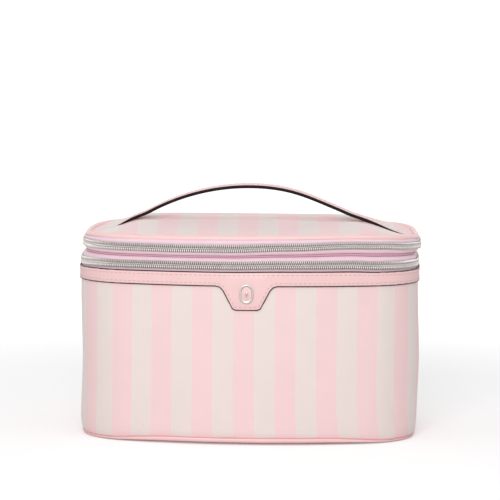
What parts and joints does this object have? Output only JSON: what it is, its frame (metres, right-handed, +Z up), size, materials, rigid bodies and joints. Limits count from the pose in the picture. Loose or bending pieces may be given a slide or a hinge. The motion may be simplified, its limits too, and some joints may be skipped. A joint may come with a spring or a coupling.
{
  "type": "makeup train case",
  "caption": "Soft-sided striped train case with a deep compartment, a shallow lid compartment, zips all round and an arched strap handle.",
  "frame": {"origin": "centre of the flat underside, on the surface the case stands on", "axes": "+Z up, +X to the case's right seen from the front, front towards -Y"},
  "size_m": [0.256, 0.1682, 0.1874],
  "materials": {
    "striped_fabric": "coated canvas, pink and cream stripes",
    "pink_piping": "pink faux leather, soft sheen",
    "pink_leather": "pink faux leather, fine grain",
    "lilac_tape": "woven zip tape, lilac pink",
    "zip_teeth": "metallised coil teeth, silver",
    "zip_metal": "plated slider metal, silver",
    "badge_metal": "polished plated metal",
    "lining_fabric": "smooth lining cloth",
    "foam": "soft foam sheet, hidden",
    "board": "stiff sheet, hidden",
    "seam_tape": "woven binding tape",
    "strap_core": "painted near-black edge"
  },
  "bodies": {
    "case": {"body_wall": "striped_fabric", "wall_foam": "foam", "main_lining": "lining_fabric", "base_panel": "pink_leather", "base_board": "board", "base_foam": "foam", "bottom_piping": "pink_piping", "trim_band": "pink_leather", "badge": "badge_metal", "main_seam_binding": "seam_tape", "lower_zip_lower_tape": "lilac_tape", "lower_zip_lower_teeth": "zip_teeth", "lower_zip_end_stops": "zip_metal", "back_hinge_lower": "striped_fabric"},
    "tray": {"lower_zip_upper_tape": "lilac_tape", "lower_zip_upper_teeth": "zip_teeth", "divider_under_lining": "lining_fabric", "divider_board": "board", "divider_top_lining": "lining_fabric", "divider_seam_welt": "seam_tape", "upper_zip_lower_tape": "lilac_tape", "upper_zip_lower_teeth": "zip_teeth", "upper_zip_end_stops": "zip_metal", "back_hinge_middle": "striped_fabric"},
    "lid": {"upper_zip_upper_tape": "lilac_tape", "upper_zip_upper_teeth": "zip_teeth", "lid_binding": "pink_piping", "lid_panel": "striped_fabric", "lid_foam": "foam", "lid_lining": "lining_fabric", "back_hinge_upper": "striped_fabric", "strap_end_left": "pink_leather", "strap_end_right": "pink_leather"},
    "handle": {"strap_top_leather": "pink_leather", "strap_core": "strap_core", "strap_under_leather": "pink_leather"},
    "lower_slider": {"lower_slider": "zip_metal"},
    "lower_pull": {"lower_pull": "zip_metal"},
    "upper_slider": {"upper_slider": "zip_metal"},
    "upper_pull": {"upper_pull": "zip_metal"}
  },
  "joints": [
    {"name": "case_opening", "type": "hinge", "parent": "case", "child": "tray", "pos_m": [0, 0.0829, 0.1322], "axis": [-1, 0, 0], "range_deg": [0, 100]},
    {"name": "lid_opening", "type": "hinge", "parent": "tray", "child": "lid", "pos_m": [0, 0.0829, 0.1454], "axis": [-1, 0, 0], "range_deg": [0, 100]},
    {"name": "strap_lean", "type": "hinge", "parent": "lid", "child": "handle", "pos_m": [0, 0, 0.1666], "axis": [1, 0, 0], "range_deg": [-35, 35], "stiffness_Nm_per_rad": 0.15},
    {"name": "lower_slider_travel", "type": "hinge", "parent": "case", "child": "lower_slider", "pos_m": [-0.0768, 0.03094, 0.1322], "axis": [0, 0, 1], "range_deg": [0, 31]},
    {"name": "lower_pull_flip", "type": "hinge", "parent": "lower_slider", "child": "lower_pull", "pos_m": [-0.11794, 0.06274, 0.1322], "axis": [0, 0, 1], "range_deg": [0, 165]},
    {"name": "upper_slider_travel", "type": "hinge", "parent": "tray", "child": "upper_slider", "pos_m": [-0.0768, 0.03094, 0.1454], "axis": [0, 0, 1], "range_deg": [0, 31]},
    {"name": "upper_pull_flip", "type": "hinge", "parent": "upper_slider", "child": "upper_pull", "pos_m": [-0.11794, 0.06274, 0.1454], "axis": [0, 0, 1], "range_deg": [0, 165]}
  ]
}
